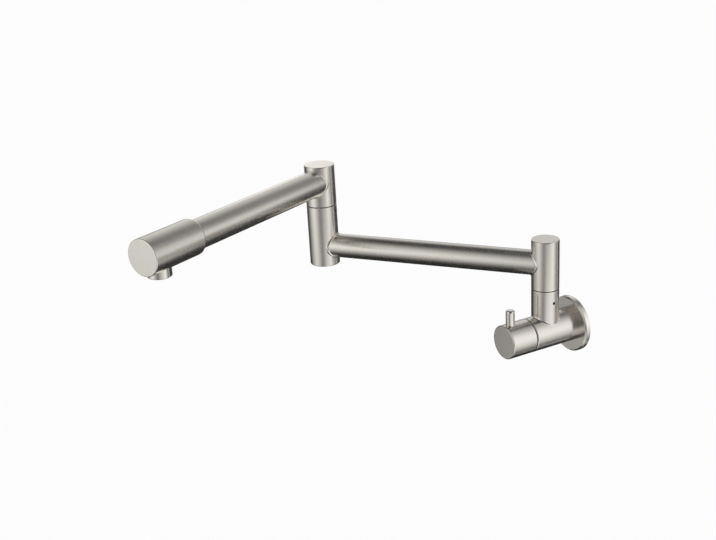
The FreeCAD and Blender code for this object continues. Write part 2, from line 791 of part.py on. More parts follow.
def make_rear_hub():
    body = new_body("rear_hub")
    height = rear_top - cap_thickness - rear_foot
    revolve(body, tube_profile(rear_bore, riser_radius, height, joint_break))
    side_hole(body, arm_1_bore, arm_1_height - rear_foot, riser_radius + overcut)
    return place(body, y=-riser_distance, z=rear_foot, turn=arm_1_heading)


def make_rear_cap():
    body = push_in_cap("rear_cap", rear_bore - assembly_gap, riser_radius)
    return place(body, y=-riser_distance, z=rear_top - cap_edge)


def make_rear_spigot():
    body = make_spigot("rear_spigot", rear_spigot_radius, rear_spigot_foot, rear_spigot_head,
                       riser_screw_height)
    return place(body, y=-riser_distance, z=rear_spigot_foot)


def make_rear_o_ring(label, height):
    return place(ring(label, rear_spigot_radius, seal_cord_radius), y=-riser_distance, z=height)


def make_rear_slide_ring():
    body = make_slide_ring("rear_slide_ring", rear_bore + running_gap, riser_radius)
    return place(body, y=-riser_distance, z=riser_top)


def coped_tube(label, outer, wall, length, hubs):
    """A tube along the body's X axis, cut to saddle each hub, a (distance, radius) pair."""
    body = new_body(label)
    sketch = new_sketch(body, "YZ_Plane")
    add_circle(sketch, outer)
    add_circle(sketch, outer - wall)
    pad(body, sketch, length)
    doc.recompute()
    for distance, hub_radius in hubs:
        sketch = new_sketch(body, "XY_Plane")
        add_circle(sketch, hub_radius, distance, 0)
        must_change(body, pocket(body, sketch, outer * through, middle=True))
    return body


def make_arm_1_tube():
    body = coped_tube("arm_1_tube", arm_1_radius, arm_1_wall, arm_1_length,
                      [(0, riser_radius), (arm_1_length, mid_radius)])
    return place(body, y=-riser_distance, z=arm_1_height, turn=arm_1_heading)


# ---------------------------------------------------------------- middle hub

mid_x = arm_1_length * cosine(arm_1_heading)
mid_y = arm_1_length * sine(arm_1_heading) - riser_distance
mid_bore = mid_radius - mid_wall
mid_spigot_radius = mid_bore - running_gap
mid_bottom = arm_1_height - mid_skirt
mid_joint = arm_1_height + mid_rise
mid_screw_height = mid_joint - mid_screw_drop
mid_spigot_foot = mid_screw_height - spigot_below_lock
upper_foot = mid_joint + joint_gap
mid_spigot_head = upper_foot + mid_spigot_grip
arm_2_height = upper_foot + arm_2_rise
mid_top = arm_2_height + mid_crown
arm_2_bore = arm_2_radius - arm_2_wall


def make_mid_lower_hub():
    """Its own X axis points along the first arm, away from the wall valve."""
    body = new_body("mid_lower_hub")
    foot = mid_bottom + cap_thickness
    revolve(body, tube_profile(mid_bore, mid_radius, mid_joint - foot, 0, joint_break))
    reach = mid_radius + overcut
    side_hole(body, arm_1_bore, arm_1_height - foot, reach, towards_plus_x=False)
    side_hole(body, socket_screw_radius + assembly_gap, mid_screw_height - foot, reach,
              towards_plus_x=False)
    return place(body, mid_x, mid_y, foot, turn=arm_1_heading)


def make_mid_bottom_cap():
    body = push_in_cap("mid_bottom_cap", mid_bore - assembly_gap, mid_radius)
    return place(body, mid_x, mid_y, mid_bottom + cap_edge, roll=180)


def make_mid_set_screw():
    start = mid_bore - lock_groove_depth + groove_slack
    screw = grub_screw("mid_set_screw", socket_screw_radius,
                       mid_radius - screw_recess - start)
    return place(screw, mid_x - start * cosine(arm_1_heading),
                 mid_y - start * sine(arm_1_heading), mid_screw_height,
                 turn=arm_1_heading + 180, pitch=90)


def make_mid_slide_ring():
    body = make_slide_ring("mid_slide_ring", mid_bore + running_gap, mid_radius)
    return place(body, mid_x, mid_y, mid_joint)


def make_mid_upper_hub():
    body = new_body("mid_upper_hub")
    height = mid_top - cap_thickness - upper_foot
    revolve(body, tube_profile(mid_bore, mid_radius, height, joint_break))
    side_hole(body, arm_2_bore, arm_2_height - upper_foot, mid_radius + overcut)
    return place(body, mid_x, mid_y, upper_foot, turn=arm_2_heading)


def make_mid_top_cap():
    body = push_in_cap("mid_top_cap", mid_bore - assembly_gap, mid_radius)
    return place(body, mid_x, mid_y, mid_top - cap_edge)


def make_mid_spigot():
    body = make_spigot("mid_spigot", mid_spigot_radius, mid_spigot_foot, mid_spigot_head,
                       mid_screw_height)
    return place(body, mid_x, mid_y, mid_spigot_foot)


def make_mid_o_ring(label, height):
    return place(ring(label, mid_spigot_radius, seal_cord_radius), mid_x, mid_y, height)


# ---------------------------------------------------------------- second arm and head

head_bore = arm_2_radius + assembly_gap
head_radius = head_bore + head_wall
outlet_bottom = arm_2_height - head_radius - outlet_drop
collar_top = arm_2_height - head_bore + outlet_stand
outlet_distance = head_end - outlet_from_end
aerator_room = outlet_radius - outlet_wall
aerator_foot = outlet_bottom + aerator_inset
seal_foot = collar_top - outlet_lip_height - aerator_seal_thickness


def along_arm_2(distance):
    """The x and y of a point on the second arm's axis."""
    return mid_x + distance * cosine(arm_2_heading), mid_y + distance * sine(arm_2_heading)


def make_arm_2_tube():
    body = coped_tube("arm_2_tube", arm_2_radius, arm_2_wall, head_start + head_overlap,
                      [(0, mid_radius)])
    return place(body, mid_x, mid_y, arm_2_height, turn=arm_2_heading)


def make_head_sleeve():
    """The thicker sleeve over the end of the arm, with a rounded start.

    Its own Z axis points along the arm and its own X axis points down.
    """
    body = new_body("head_sleeve")
    length = head_end - cap_thickness - head_start
    revolve(body, tube_profile(head_bore, head_radius, length))
    round_edges(body, head_rounding, ring_edge(head_radius, 0))
    side_hole(body, outlet_radius + assembly_gap, outlet_distance - head_start,
              head_radius + overcut)
    x, y = along_arm_2(head_start)
    return place(body, x, y, arm_2_height, turn=arm_2_heading, pitch=90)


def make_head_end_cap():
    body = push_in_cap("head_end_cap", arm_2_radius, head_radius)
    x, y = along_arm_2(head_end - cap_edge)
    return place(body, x, y, arm_2_height, turn=arm_2_heading, pitch=90)


def make_outlet_collar():
    """The short collar under the head, with a lip that the aerator's seal meets."""
    body = new_body("outlet_collar")
    height = collar_top - outlet_bottom
    lip = outlet_radius - outlet_lip_wall
    lip_foot = height - outlet_lip_height
    revolve(body, [
        (aerator_room, 0), (outlet_radius - edge_break, 0), (outlet_radius, edge_break),
        (outlet_radius, height), (lip, height), (lip, lip_foot), (aerator_room, lip_foot)])
    x, y = along_arm_2(outlet_distance)
    return place(body, x, y, outlet_bottom)


def make_aerator_housing():
    """A cup with an inward ledge that holds the screen, and a perforated plate above."""
    body = new_body("aerator_housing")
    outer = aerator_room - assembly_gap
    inner = outer - aerator_wall
    height = seal_foot - aerator_foot
    plate = height - aerator_plate
    revolve(body, [
        (inner - aerator_ledge, 0), (outer, 0), (outer, height), (0, height), (0, plate),
        (inner, plate), (inner, aerator_ledge), (inner - aerator_ledge, aerator_ledge)])
    perforate(body, aerator_hole_radius, inner, aerator_plate, plate_rings, plate)
    x, y = along_arm_2(outlet_distance)
    return place(body, x, y, aerator_foot, turn=arm_2_heading)


def make_aerator_screen():
    """The fine grille that shows in the mouth of the outlet."""
    body = new_body("aerator_screen")
    radius = aerator_room - 2 * assembly_gap - aerator_wall
    revolve(body, [(0, 0), (radius, 0), (radius, screen_thickness), (0, screen_thickness)])
    perforate(body, screen_hole_radius, radius, screen_thickness, screen_rings)
    x, y = along_arm_2(outlet_distance)
    return place(body, x, y, aerator_foot + aerator_ledge, turn=arm_2_heading)


def make_aerator_seal():
    body = new_body("aerator_seal")
    inner = outlet_radius - outlet_lip_wall
    revolve(body, tube_profile(inner, aerator_room - assembly_gap, aerator_seal_thickness))
    x, y = along_arm_2(outlet_distance)
    return place(body, x, y, seal_foot)


# ---------------------------------------------------------------- the assembly

pieces = [
    make_wall_flange(), make_wall_gasket(), make_flange_o_ring(), make_valve_body(),
    make_riser_set_screw(), make_inlet_seal(), make_inlet_strainer(),
    make_cartridge_bonnet(), make_cartridge_seat_seal(), make_fixed_disc(), make_moving_disc(),
    make_valve_spindle(), make_spindle_o_ring("spindle_o_ring_inner", ring_rooms[0]),
    make_spindle_o_ring("spindle_o_ring_outer", ring_rooms[1]), make_spindle_clip(),
    make_knob_shell(), make_lever_pin(), make_knob_grub_screw(),
    make_rear_slide_ring(), make_rear_hub(), make_rear_cap(), make_rear_spigot(),
    make_rear_o_ring("rear_o_ring_lower", ring_heights(riser_screw_height)[0]),
    make_rear_o_ring("rear_o_ring_upper", ring_heights(riser_screw_height)[1]),
    make_arm_1_tube(), make_mid_lower_hub(), make_mid_bottom_cap(), make_mid_set_screw(),
    make_mid_slide_ring(), make_mid_upper_hub(), make_mid_top_cap(), make_mid_spigot(),
    make_mid_o_ring("mid_o_ring_lower", ring_heights(mid_screw_height)[0]),
    make_mid_o_ring("mid_o_ring_upper", ring_heights(mid_screw_height)[1]),
    make_arm_2_tube(), make_head_sleeve(), make_head_end_cap(), make_outlet_collar(),
    make_aerator_housing(), make_aerator_screen(), make_aerator_seal(),
]

doc.recompute()

for item in doc.Objects:
    if "Invalid" in item.State or "Error" in item.State:
        raise RuntimeError(f"{item.Label} failed to compute: {item.State}")
for piece in pieces:
    if piece.Shape.isNull() or not piece.Shape.isValid():
        raise RuntimeError(f"{piece.Label} has no valid shape")
    if len(piece.Shape.Solids) != 1:
        raise RuntimeError(f"{piece.Label} has {len(piece.Shape.Solids)} solids")

os.makedirs("parts", exist_ok=True)
for piece in pieces:
    piece.Shape.exportStep(f"parts/{piece.Label}.step")
    print(f"{piece.Label:22s} {piece.Shape.Volume / 1000:9.3f} cm3")
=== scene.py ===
"""Wall mounted pot filler in brushed nickel: the looks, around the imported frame.

Lengths are in metres, in the frame of the part: +Z up, +Y into the wall, the origin on the
wall at the centre of the flange. The sections follow the tap from the wall to the outlet.
"""

import math

import bpy
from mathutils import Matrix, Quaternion, Vector


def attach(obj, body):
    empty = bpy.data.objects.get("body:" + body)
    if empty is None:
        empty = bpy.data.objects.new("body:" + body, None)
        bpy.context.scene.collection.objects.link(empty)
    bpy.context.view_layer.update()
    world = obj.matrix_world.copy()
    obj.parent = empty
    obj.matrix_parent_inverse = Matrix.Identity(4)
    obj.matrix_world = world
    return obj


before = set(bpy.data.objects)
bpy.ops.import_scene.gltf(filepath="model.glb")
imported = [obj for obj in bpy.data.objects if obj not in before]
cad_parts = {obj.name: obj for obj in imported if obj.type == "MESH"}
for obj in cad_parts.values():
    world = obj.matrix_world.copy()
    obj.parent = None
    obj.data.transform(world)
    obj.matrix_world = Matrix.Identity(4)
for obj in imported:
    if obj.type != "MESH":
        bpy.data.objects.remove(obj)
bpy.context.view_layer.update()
bpy.context.scene.view_settings.view_transform = "Standard"


# ---------------------------------------------------------------- camera
# The photograph's own angle: a little above the tap, from the room on the right of it.
# The lens and place come from a least-squares fit to the tap's edges in the photograph.

camera_place = Vector((0.83619, -0.70208, 0.46209))
camera_azimuth = math.radians(61.477)
camera_elevation = math.radians(20.096)
camera_roll = math.radians(-3.224)
camera_lens = 56.63                        # in mm
camera_sensor = 36                         # in mm, across
camera_near, camera_far = 0.01, 100

back = Vector((math.sin(camera_azimuth) * math.cos(camera_elevation),
               -math.cos(camera_azimuth) * math.cos(camera_elevation),
               math.sin(camera_elevation)))
camera = bpy.data.objects.new("camera", bpy.data.cameras.new("camera"))
bpy.context.scene.collection.objects.link(camera)
camera.location = camera_place
camera.rotation_mode = "QUATERNION"
camera.rotation_quaternion = (-back).to_track_quat("-Z", "Y") @ Quaternion((0, 0, 1), camera_roll)
camera.data.lens = camera_lens
camera.data.sensor_width = camera_sensor
camera.data.clip_start = camera_near
camera.data.clip_end = camera_far
bpy.context.scene.camera = camera


# ---------------------------------------------------------------- floor and daylight
# A plain white floor well below the tap, which hangs on its wall. An even white sky lights
# the floor and everything that isn't metal.

floor_height = -0.78
floor_size = 40
floor_cells = 4
floor_white = (0.98, 0.98, 0.98, 1)
floor_roughness = 0.9
sky_white = (1, 1, 1, 1)
sky_strength = 1


def node_material(name):
    """A new node material, with its node tree and its shader."""
    material = bpy.data.materials.new(name)
    material.use_nodes = True
    return material, material.node_tree, material.node_tree.nodes["Principled BSDF"]


def chain(tree, kind, **settings):
    """A node with its settings. The wires link its inputs to sockets, or give them values."""
    made = tree.nodes.new(kind)
    wires = settings.pop("wires", {})
    for key, value in settings.items():
        setattr(made, key, value)
    for key, value in wires.items():
        if isinstance(value, bpy.types.NodeSocket):
            tree.links.new(value, made.inputs[key])
        else:
            made.inputs[key].default_value = value
    return made


bpy.ops.object.select_all(action="DESELECT")
bpy.ops.mesh.primitive_grid_add(size=floor_size, x_subdivisions=floor_cells,
                                y_subdivisions=floor_cells)
floor = bpy.context.object
floor.name = "floor"
bpy.ops.object.mode_set(mode="EDIT")
bpy.ops.mesh.select_all(action="SELECT")
bpy.ops.transform.translate(value=(0, 0, floor_height))
bpy.ops.object.mode_set(mode="OBJECT")
floor_material, tree, shader = node_material("floor_white")
shader.inputs["Base Color"].default_value = floor_white
shader.inputs["Roughness"].default_value = floor_roughness
shader.inputs["Specular IOR Level"].default_value = 0
floor.data.materials.append(floor_material)

world = bpy.data.worlds.new("studio")
world.use_nodes = True
world.node_tree.nodes["Background"].inputs["Color"].default_value = sky_white
world.node_tree.nodes["Background"].inputs["Strength"].default_value = sky_strength
bpy.context.scene.world = world


# ---------------------------------------------------------------- studio tent
# A dark tent with soft white windows, round the tap and above the floor. Only the metal sees
# it, as the bands of light and shade along the tubes. The first six windows and the tent's own
# brightness at each height come from a least-squares fit to how bright the metal is in the
# photograph, rounded and then changed a little. So they needn't stand where the real lamps
# stood. The two small windows after them were placed after a second fit, and the last three
# to light the sides that the photograph doesn't show.

tent_radius = 4.0
tent_segments, tent_rings = 48, 24
tent_above_floor = 0.03
tent_foot = floor_height + tent_above_floor
tent_middle = (-0.09, -0.2, 0.07)
tent_dark, tent_horizon, tent_top = 0.018, 0.070, 0.037    # brightness by height
horizon_starts, horizon_full = -70, -10                    # in degrees
top_starts, top_full = 33, 68
# each window: heading, height, half width, half height, soft edge across, soft edge up (in
# degrees, headings from +X towards +Y), brightness
windows = (
    (-94, 7, 32, 30, 34, 44, 1.33),        # in the room, in front of the tap
    (31, 3, 20, 48, 22, 40, 0.92),         # on the right, past the wall's plane
    (73, -16, 5, 37, 3, 15, 0.54),         # narrow and upright, beside it
    (147, 26, 35, 23, 28, 21, 0.66),       # wide, over the wall on the left
    (63, 30, 14, 37, 41, 3, 0.54),         # over the wall on the right
    (-8, -47, 24, 28, 25, 15, 1.15),       # low on the right
    (-141, -30, 8, 8, 9, 8, 0.34),         # small and low in the room, seen in the knob's face
    (158, 10, 6, 7, 6, 6, 0.85),           # small, on the left
    (125, -2, 5, 10, 5, 6, 0.60),          # two narrow ones behind the tap
    (178, -4, 5, 10, 5, 6, 0.60),
    (0, 90, 200, 7, 5, 7, 0.60),           # a round one overhead
)

bpy.ops.object.select_all(action="DESELECT")
bpy.ops.mesh.primitive_uv_sphere_add(segments=tent_segments, ring_count=tent_rings,
                                     radius=tent_radius)
tent = bpy.context.object
tent.name = "tent"
bpy.ops.object.mode_set(mode="EDIT")
bpy.ops.mesh.select_all(action="SELECT")
bpy.ops.transform.translate(value=tent_middle)
bpy.ops.mesh.bisect(plane_co=(0, 0, tent_foot), plane_no=(0, 0, 1), use_fill=True,
                    clear_inner=True)
bpy.ops.object.mode_set(mode="OBJECT")

tent_material = bpy.data.materials.new("tent")
tent_material.use_nodes = True
tree = tent_material.node_tree
tree.nodes.clear()


def soft_step(tree, value, start, end, low=0.0, high=1.0):
    """A smooth rise from low to high, while the value goes from start to end."""
    return chain(tree, "ShaderNodeMapRange", interpolation_type="SMOOTHSTEP",
                 wires={"Value": value, "From Min": start, "From Max": end,
                        "To Min": low, "To Max": high}).outputs["Result"]


def arithmetic(tree, operation, first, second=0.0):
    """One sum with two values, or with one where the operation needs no second."""
    return chain(tree, "ShaderNodeMath", operation=operation,
                 wires={0: first, 1: second}).outputs["Value"]


place = chain(tree, "ShaderNodeTexCoord").outputs["Object"]
centred = chain(tree, "ShaderNodeMapping", vector_type="TEXTURE",
                wires={"Vector": place, "Location": tent_middle}).outputs["Vector"]
direction = chain(tree, "ShaderNodeVectorMath", operation="NORMALIZE",
                  wires={0: centred}).outputs["Vector"]
upward = chain(tree, "ShaderNodeSeparateXYZ", wires={"Vector": direction}).outputs["Z"]
height = arithmetic(tree, "MULTIPLY", arithmetic(tree, "ARCSINE", upward), math.degrees(1))
glow = soft_step(tree, height, horizon_starts, horizon_full, tent_dark, tent_horizon)
glow = arithmetic(tree, "ADD", glow,
                  soft_step(tree, height, top_starts, top_full, 0, tent_top - tent_horizon))
for heading, rise, wide, tall, soft_across, soft_up, bright in windows:
    turned = chain(tree, "ShaderNodeMapping", vector_type="TEXTURE",
                   wires={"Vector": direction, "Rotation": (0, 0, math.radians(heading))})
    axes = chain(tree, "ShaderNodeSeparateXYZ", wires={"Vector": turned.outputs["Vector"]})
    bearing = arithmetic(tree, "ARCTAN2", axes.outputs["Y"], axes.outputs["X"])
    aside = arithmetic(tree, "MULTIPLY", arithmetic(tree, "ABSOLUTE", bearing), math.degrees(1))
    above = arithmetic(tree, "ABSOLUTE", arithmetic(tree, "SUBTRACT", height, rise))
    across = soft_step(tree, aside, wide + soft_across, wide - soft_across, 0, bright)
    up = soft_step(tree, above, tall + soft_up, tall - soft_up)
    glow = arithmetic(tree, "ADD", glow, arithmetic(tree, "MULTIPLY", across, up))
emission = chain(tree, "ShaderNodeEmission", wires={"Strength": glow})
chain(tree, "ShaderNodeOutputMaterial", wires={"Surface": emission.outputs["Emission"]})
tent_material.cycles.emission_sampling = "NONE"
tent.data.materials.append(tent_material)
tent.visible_camera = False
tent.visible_diffuse = False
tent.visible_shadow = False
tent.visible_transmission = False


# ---------------------------------------------------------------- wall flange
# The round cover plate on the wall: a turned brass disc, nickel plated and brushed in the
# lathe, so its grain runs in circles. A foam ring seals its hollow back to the tiles, and a
# rubber ring in its bore grips the barrel.

nickel = (0.80, 0.768, 0.718, 1)
nickel_roughness = 0.23
nickel_grain = 0.0003                      # from one brushed line to the next
nickel_depth = 0.0000009
nickel_spread = 0.035                      # how much the dullness varies
nickel_tint = 0.035                        # how much the shade varies
patch_scale = 140                          # patches of stronger brushing to the metre
patch_faint = 0.6                          # strength of the brushing between the patches
circle_detail, patch_detail, speck_detail = 3, 2, 4        # finer layers of noise
noise_fading = 0.6                         # from one layer to the next finer one
noise_low, noise_high = 0.3, 0.7           # where most values of a noise pattern lie
dull_low, dull_high = 0.15, 0.75           # marks with the least and the most dullness
shade_low, shade_high = 0.1, 0.8           # marks with the darkest and the lightest shade
speck_low, speck_high = 0.25, 0.75         # specks with the least and the most dullness
flange_nickel_painted_lighter = (0.90, 0.865, 0.81, 1)     # painted light: the tubes' nickel made lighter, for a brighter face and rim
wall_axis = (0, 0, math.radians(90))       # turns a pattern's X axis along the wall's normal
foam_grey = (0.16, 0.16, 0.17, 1)
foam_cell = 0.0006
foam_depth, foam_strength = foam_cell / 4, 0.8             # of its surface
foam_middle, foam_edge = 0.1, 0.6          # from the middle of a cell, in cells
foam_pit, foam_wall = 1.25, 0.6            # shade in the middle and at the edge
foam_roughness = 0.95
rubber_black = (0.018, 0.018, 0.019, 1)
rubber_roughness = 0.48
rubber_speck = 0.0009


def turned_metal(name, colour, roughness, centre, axis, grain=nickel_grain,
                 depth=nickel_depth, spread=nickel_spread, tint=nickel_tint):
    """Metal with fine circles about an axis, as a lathe or a turning belt leaves them.

    The pattern's own X axis is turned by the axis angles, and the circles follow both the
    barrel and the end faces of a piece, because they count along the axis and outwards.
    """
    material, tree, shader = node_material(name)
    marks = turned_marks(tree, centre, axis, grain)
    metal_from_marks(tree, shader, marks, colour, roughness, depth, spread, tint)
    return material


def turned_marks(tree, centre, axis, grain):
    """The height of the fine circles, stronger in some patches than in others."""
    place = chain(tree, "ShaderNodeTexCoord").outputs["Object"]
    local = chain(tree, "ShaderNodeMapping", vector_type="TEXTURE",
                  wires={"Vector": place, "Location": centre, "Rotation": axis})
    axes = chain(tree, "ShaderNodeSeparateXYZ", wires={"Vector": local.outputs["Vector"]})
    flat = chain(tree, "ShaderNodeCombineXYZ", wires={"Y": axes.outputs["Y"],
                                                      "Z": axes.outputs["Z"]})
    outward = chain(tree, "ShaderNodeVectorMath", operation="LENGTH",
                    wires={0: flat.outputs["Vector"]}).outputs["Value"]
    along = arithmetic(tree, "ADD", axes.outputs["X"], outward)
    circles = chain(tree, "ShaderNodeTexNoise", noise_dimensions="1D",
                    wires={"W": along, "Scale": 1 / grain, "Detail": circle_detail,
                           "Roughness": noise_fading})
    patches = chain(tree, "ShaderNodeTexNoise",
                    wires={"Vector": local.outputs["Vector"], "Scale": patch_scale,
                           "Detail": patch_detail})
    return arithmetic(tree, "MULTIPLY", circles.outputs["Fac"],
                      soft_step(tree, patches.outputs["Fac"], noise_low, noise_high,
                                patch_faint, 1.0))


def metal_from_marks(tree, shader, marks, colour, roughness, depth, spread, tint):
    """Lets the marks vary the metal's dullness, shade and surface a little."""
    dull = soft_step(tree, marks, dull_low, dull_high, roughness - spread, roughness + spread)
    tree.links.new(dull, shader.inputs["Roughness"])
    shade = soft_step(tree, marks, shade_low, shade_high, 1 - tint, 1 + tint)
    tinted = chain(tree, "ShaderNodeVectorMath", operation="SCALE",
                   wires={0: colour[:3], "Scale": shade}).outputs["Vector"]
    tree.links.new(tinted, shader.inputs["Base Color"])
    shader.inputs["Metallic"].default_value = 1
    bump = chain(tree, "ShaderNodeBump",
                 wires={"Height": marks, "Distance": depth, "Strength": 1.0})
    tree.links.new(bump.outputs["Normal"], shader.inputs["Normal"])


def mottled(name, colour, roughness, speck, contrast=0.12, depth=0.00001, spread=0.08,
            stretch=(1, 1, 1)):
    """A plain material whose colour, dullness and surface vary in specks of a real size."""
    material, tree, shader = node_material(name)
    place = chain(tree, "ShaderNodeTexCoord").outputs["Object"]
    drawn = chain(tree, "ShaderNodeMapping", wires={"Vector": place, "Scale": stretch})
    specks = chain(tree, "ShaderNodeTexNoise",
                   wires={"Vector": drawn.outputs["Vector"], "Scale": 1 / speck,
                          "Detail": speck_detail,
                          "Roughness": noise_fading}).outputs["Fac"]
    shade = soft_step(tree, specks, noise_low, noise_high, 1 - contrast, 1 + contrast)
    tinted = chain(tree, "ShaderNodeVectorMath", operation="SCALE",
                   wires={0: colour[:3], "Scale": shade}).outputs["Vector"]
    tree.links.new(tinted, shader.inputs["Base Color"])
    dull = soft_step(tree, specks, speck_low, speck_high, roughness - spread,
                     roughness + spread)
    tree.links.new(dull, shader.inputs["Roughness"])
    bump = chain(tree, "ShaderNodeBump",
                 wires={"Height": specks, "Distance": depth, "Strength": 1.0})
    tree.links.new(bump.outputs["Normal"], shader.inputs["Normal"])
    return material


def finish_node(material, *names):
    """Gives the material to CAD nodes, in every material slot they have."""
    for name in names:
        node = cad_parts[name]
        if not node.material_slots:
            node.data.materials.append(material)
        for slot in node.material_slots:
            slot.material = material


foam, tree, shader = node_material("grey_foam")
place = chain(tree, "ShaderNodeTexCoord").outputs["Object"]
cells = chain(tree, "ShaderNodeTexVoronoi",
              wires={"Vector": place, "Scale": 1 / foam_cell}).outputs["Distance"]
pore = soft_step(tree, cells, foam_middle, foam_edge, foam_pit, foam_wall)
tinted = chain(tree, "ShaderNodeVectorMath", operation="SCALE",
               wires={0: foam_grey[:3], "Scale": pore}).outputs["Vector"]
tree.links.new(tinted, shader.inputs["Base Color"])
bump = chain(tree, "ShaderNodeBump",
             wires={"Height": cells, "Distance": foam_depth, "Strength": foam_strength})
tree.links.new(bump.outputs["Normal"], shader.inputs["Normal"])
shader.inputs["Roughness"].default_value = foam_roughness

rubber = mottled("black_rubber", rubber_black, rubber_roughness, rubber_speck)
# The flange gets the nickel painted lighter than the tubes', as painted light on its face and
# rim.
finish_node(turned_metal("flange_nickel_painted_lighter", flange_nickel_painted_lighter, nickel_roughness, (0, 0, 0),
                         wall_axis), "wall_flange")
finish_node(foam, "wall_gasket")
finish_node(rubber, "flange_o_ring")


# ---------------------------------------------------------------- valve body
# The barrel that comes out of the wall, and the riser brazed on it: brass, nickel plated.
# Both are brushed while they turn, so the grain runs round the barrel, and round the riser
# above the braze.

barrel_radius = 0.0175
riser_centre = (0, -0.035, 0)
upright = (0, math.radians(90), 0)         # turns a pattern's X axis upright
riser_weld = 0.002

body_nickel, tree, shader = node_material("body_nickel")
on_barrel = turned_marks(tree, (0, 0, 0), wall_axis, nickel_grain)
on_riser = turned_marks(tree, riser_centre, upright, nickel_grain)
place = chain(tree, "ShaderNodeTexCoord").outputs["Object"]
axes = chain(tree, "ShaderNodeSeparateXYZ", wires={"Vector": place})
across = chain(tree, "ShaderNodeCombineXYZ", wires={"X": axes.outputs["X"],
                                                    "Z": axes.outputs["Z"]})
from_axis = chain(tree, "ShaderNodeVectorMath", operation="LENGTH",
                  wires={0: across.outputs["Vector"]}).outputs["Value"]
riser_share = soft_step(tree, from_axis, barrel_radius + riser_weld / 4,
                        barrel_radius + riser_weld)
marks = chain(tree, "ShaderNodeMix", data_type="FLOAT",
              wires={"Factor": riser_share, 2: on_barrel, 3: on_riser}).outputs[0]
metal_from_marks(tree, shader, marks, nickel, nickel_roughness, nickel_depth, nickel_spread,
                 nickel_tint)
finish_node(body_nickel, "valve_body")


# ---------------------------------------------------------------- inlet
# The socket at the back of the barrel takes the wall's G1/2 nipple. Its thread is cut in the
# brass: 14 turns to the inch. A red fibre washer seals at its bottom, and a pressed
# stainless strainer lies under the washer.

thread_pitch = 0.0254 / 14
thread_root = 0.01056                      # a little way into the wall of the CAD bore
thread_crest = 0.00935
thread_start = -0.0022                     # below the mouth's countersink
thread_foot = 0.92                         # of the pitch
thread_crest_share = 0.28                  # of the thread's foot
thread_turns = 6
thread_steps = 64
thread_edge = 30                           # in degrees: sharper edges stay sharp
thread_marks = 0.0000015                   # deeper than the brushing outside
raw_nickel = (0.70, 0.67, 0.60, 1)
raw_roughness = 0.3
fibre_red = (0.30, 0.075, 0.045, 1)
fibre_roughness = 0.8
fibre_length = 0.0005
stainless = (0.62, 0.61, 0.59, 1)
stainless_roughness = 0.3
doubles_apart = 0.000002


def select_where(piece, test):
    """Selects, in edit mode, the vertices whose place passes the test."""
    bpy.ops.object.mode_set(mode="EDIT")
    bpy.ops.mesh.select_mode(type="VERT")
    bpy.ops.mesh.select_all(action="DESELECT")
    bpy.ops.object.mode_set(mode="OBJECT")
    for vertex in piece.data.vertices:
        vertex.select = test(vertex.co)
    bpy.ops.object.mode_set(mode="EDIT")


def settle(piece):
    """Puts a piece's place, turn and size into its mesh."""
    bpy.ops.object.select_all(action="DESELECT")
    piece.select_set(True)
    bpy.context.view_layer.objects.active = piece
    bpy.ops.object.transform_apply(location=True, rotation=True, scale=True)


def tidy_normals(piece, angle):
    """Merges doubles, turns the faces outwards and shades them smooth up to an angle."""
    bpy.ops.object.select_all(action="DESELECT")
    piece.select_set(True)
    bpy.context.view_layer.objects.active = piece
    bpy.ops.object.mode_set(mode="EDIT")
    bpy.ops.mesh.select_mode(type="VERT")
    bpy.ops.mesh.select_all(action="SELECT")
    bpy.ops.mesh.remove_doubles(threshold=doubles_apart)
    bpy.ops.mesh.normals_make_consistent(inside=False)
    bpy.ops.object.mode_set(mode="OBJECT")
    bpy.ops.object.shade_smooth_by_angle(angle=math.radians(angle))


thread_middle = (thread_crest + thread_root) / 2
bpy.ops.object.select_all(action="DESELECT")
bpy.ops.mesh.primitive_plane_add(size=1, location=(thread_middle, thread_start, 0))
thread = bpy.context.object
thread.name = "inlet_thread"
bpy.ops.object.mode_set(mode="EDIT")
bpy.ops.transform.resize(value=(thread_root - thread_crest, thread_pitch * thread_foot, 1))
bpy.ops.mesh.delete(type="ONLY_FACE")
bpy.ops.object.mode_set(mode="OBJECT")
settle(thread)
select_where(thread, lambda place: place.x < thread_middle)
bpy.ops.transform.resize(value=(1, thread_crest_share, 1),
                         center_override=(thread_crest, thread_start, 0))
bpy.ops.object.mode_set(mode="OBJECT")
screw = thread.modifiers.new("screw", "SCREW")
screw.axis = "Y"
screw.screw_offset = -thread_pitch
screw.iterations = thread_turns
screw.steps = thread_steps
screw.render_steps = thread_steps
bpy.ops.object.modifier_apply(modifier=screw.name)
bpy.ops.object.mode_set(mode="EDIT")
bpy.ops.mesh.select_all(action="SELECT")
bpy.ops.mesh.fill_holes(sides=4)
bpy.ops.object.mode_set(mode="OBJECT")
tidy_normals(thread, thread_edge)
thread.data.materials.append(
    turned_metal("thread_nickel", raw_nickel, raw_roughness, (0, 0, 0), wall_axis,
                 depth=thread_marks))
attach(thread, "wall_valve")

finish_node(mottled("red_fibre", fibre_red, fibre_roughness, fibre_length, contrast=0.3,
                    depth=0.00003, stretch=(1, 4, 1)), "inlet_seal")
finish_node(turned_metal("strainer_steel", stainless, stainless_roughness, (0, 0, 0),
                         wall_axis), "inlet_strainer")


# ---------------------------------------------------------------- quarter-turn cartridge
# The valve inside the barrel: a turned brass bonnet, a brass spindle, two lapped ceramic
# discs, rubber seals and a spring-steel clip. The spindle and the upper disc turn with the
# knob.

brass = (0.80, 0.60, 0.27, 1)
brass_roughness = 0.24
brass_grain = 0.0004
ceramic_white = (0.86, 0.85, 0.82, 1)
ceramic_roughness = 0.16
ceramic_speck = 0.0004
clip_speck = 0.0004

